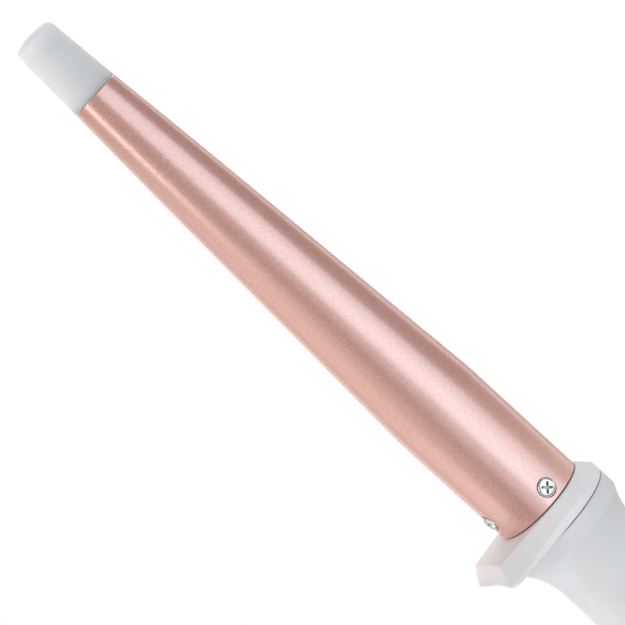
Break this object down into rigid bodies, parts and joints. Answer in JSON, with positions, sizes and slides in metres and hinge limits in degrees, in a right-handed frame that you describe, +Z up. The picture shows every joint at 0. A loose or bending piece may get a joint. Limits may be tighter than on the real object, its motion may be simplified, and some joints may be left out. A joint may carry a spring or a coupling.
{
  "type": "curling wand",
  "caption": "Hair curling wand with a heated cone-shaped barrel, cool tip, collar with a rest foot, straight handle with push buttons and a swivelling cord inlet.",
  "frame": {"origin": "on the table under the middle of the wand's length and width, with the wand resting on the foot and the rear cap", "axes": "+X from the cool tip towards the cord inlet, level; +Z up; the buttons face up and the rest foot points down"},
  "size_m": [0.3392, 0.0314, 0.0405],
  "materials": {
    "rose_gold_coating": "satin",
    "tip_plastic": "matte",
    "collar_plastic": "satin",
    "handle_plastic": "satin",
    "cap_plastic": "satin",
    "nickel_plated_steel": "polished",
    "holder_plastic": "matte",
    "tray_plastic": "matte",
    "panel_plastic": "gloss",
    "button_plastic": "satin",
    "lens_plastic": "gloss",
    "swivel_plastic": "matte",
    "contact_brass": "satin",
    "bare_aluminium": "satin",
    "heater_ceramic": "matte",
    "insulating_film": "gloss",
    "spring_steel": "satin",
    "sensor_sleeve": "gloss",
    "fuse_can": "satin",
    "board_laminate": "satin",
    "component_moulding": "matte",
    "capacitor_case": "satin",
    "led_resin": "gloss",
    "line_wire_sleeve": "matte",
    "neutral_wire_sleeve": "matte",
    "sensor_wire_sleeve": "matte"
  },
  "bodies": {
    "wand_body": {"barrel": "rose_gold_coating", "cool_tip": "tip_plastic", "collar_stand": "collar_plastic", "handle_sleeve": "handle_plastic", "rear_cap": "cap_plastic", "barrel_screw_bottom": "nickel_plated_steel", "barrel_screw_near_side": "nickel_plated_steel", "barrel_screw_far_side": "nickel_plated_steel", "cap_screw_near_side": "nickel_plated_steel", "cap_screw_far_side": "nickel_plated_steel", "barrel_holder": "holder_plastic", "chassis_tray": "tray_plastic", "control_panel": "panel_plastic", "indicator_lens": "lens_plastic", "brush_line": "contact_brass", "brush_neutral": "contact_brass", "heat_spreader_upper": "bare_aluminium", "heat_spreader_lower": "bare_aluminium", "heater_element": "heater_ceramic", "heater_insulation": "insulating_film", "pressure_spring": "spring_steel", "thermistor": "sensor_sleeve", "thermal_fuse": "fuse_can", "control_board": "board_laminate", "plus_tact_switch": "component_moulding", "minus_tact_switch": "component_moulding", "power_tact_switch": "component_moulding", "power_switching_device": "component_moulding", "controller_chip": "component_moulding", "film_capacitor": "capacitor_case", "indicator_led": "led_resin", "heater_lead_line": "line_wire_sleeve", "heater_lead_neutral": "neutral_wire_sleeve", "sensor_lead": "sensor_wire_sleeve"},
    "plus_button": {"plus_button": "button_plastic"},
    "minus_button": {"minus_button": "button_plastic"},
    "power_button": {"power_button": "button_plastic"},
    "cord_swivel": {"cord_swivel": "swivel_plastic", "contact_ring_line": "contact_brass", "contact_ring_neutral": "contact_brass"}
  },
  "joints": [
    {"name": "plus_button_press", "type": "slide", "parent": "wand_body", "child": "plus_button", "axis": [-0.0692, 0, -0.9976], "range_m": [0, 0.0005], "stiffness_N_per_m": 600, "springref_m": -0.0005},
    {"name": "minus_button_press", "type": "slide", "parent": "wand_body", "child": "minus_button", "axis": [-0.0692, 0, -0.9976], "range_m": [0, 0.0005], "stiffness_N_per_m": 600, "springref_m": -0.0005},
    {"name": "power_button_press", "type": "slide", "parent": "wand_body", "child": "power_button", "axis": [-0.0692, 0, -0.9976], "range_m": [0, 0.0005], "stiffness_N_per_m": 600, "springref_m": -0.0005},
    {"name": "cord_swivel_turn", "type": "hinge", "parent": "wand_body", "child": "cord_swivel", "pos_m": [0.14578, 0, 0.01304], "axis": [0.9976, 0, -0.0692], "continuous": true}
  ]
}
